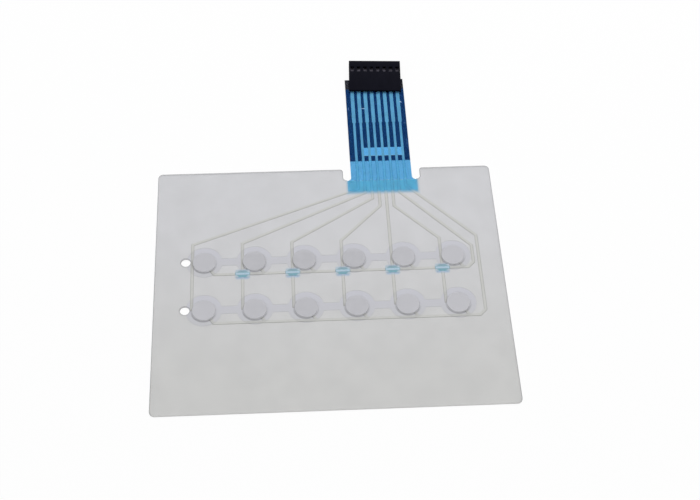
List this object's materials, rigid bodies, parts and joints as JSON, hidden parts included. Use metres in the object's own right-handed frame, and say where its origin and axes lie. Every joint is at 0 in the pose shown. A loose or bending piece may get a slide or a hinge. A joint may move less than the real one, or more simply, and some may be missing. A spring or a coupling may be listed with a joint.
{
  "type": "membrane keypad",
  "caption": "Flat membrane keypad with two rows of snap-dome keys, a printed circuit between films, and a flat film tail in a crimped socket connector.",
  "frame": {"origin": "centre of the panel's rear face, on the release liner", "axes": "+X to the right along the key rows, +Y towards the tail and connector, +Z out of the keys' face"},
  "size_m": [0.1238, 0.1555, 0.0029],
  "materials": {
    "liner_paper": "coated paper, matte, off-white",
    "adhesive": "milky adhesive film",
    "clear_film": "clear polyester film",
    "spacer_film": "milky adhesive spacer",
    "matte_film": "fine matte, slightly milky",
    "blue_coat": "translucent blue print, satin",
    "black_film": "black film, satin",
    "black_nylon": "moulded nylon, fine satin",
    "dome_steel": "plain bright sheet",
    "silver_ink": "printed silver ink, dull",
    "patch_ink": "blue insulating print",
    "contact_metal": "tinned spring metal"
  },
  "bodies": {
    "root": {"release_liner": "liner_paper", "rear_adhesive": "adhesive", "circuit_film": "clear_film", "spacer": "spacer_film", "cover_film": "matte_film", "tail_insulator": "blue_coat", "tail_backing": "black_film", "connector_housing": "black_nylon", "dome_r1_c1": "dome_steel", "dome_r1_c2": "dome_steel", "dome_r1_c3": "dome_steel", "dome_r1_c4": "dome_steel", "dome_r1_c5": "dome_steel", "dome_r1_c6": "dome_steel", "dome_r2_c1": "dome_steel", "dome_r2_c2": "dome_steel", "dome_r2_c3": "dome_steel", "dome_r2_c4": "dome_steel", "dome_r2_c5": "dome_steel", "dome_r2_c6": "dome_steel", "column_trace_1": "silver_ink", "column_trace_2": "silver_ink", "column_trace_3": "silver_ink", "column_trace_4": "silver_ink", "column_trace_5": "silver_ink", "column_trace_6": "silver_ink", "row_trace_1": "silver_ink", "row_trace_2": "silver_ink", "crossover_patch_2": "patch_ink", "crossover_patch_3": "patch_ink", "crossover_patch_4": "patch_ink", "crossover_patch_5": "patch_ink", "crossover_patch_6": "patch_ink", "contact_1": "contact_metal", "contact_2": "contact_metal", "contact_3": "contact_metal", "contact_4": "contact_metal", "contact_5": "contact_metal", "contact_6": "contact_metal", "contact_7": "contact_metal", "contact_8": "contact_metal"}
  },
  "joints": []
}
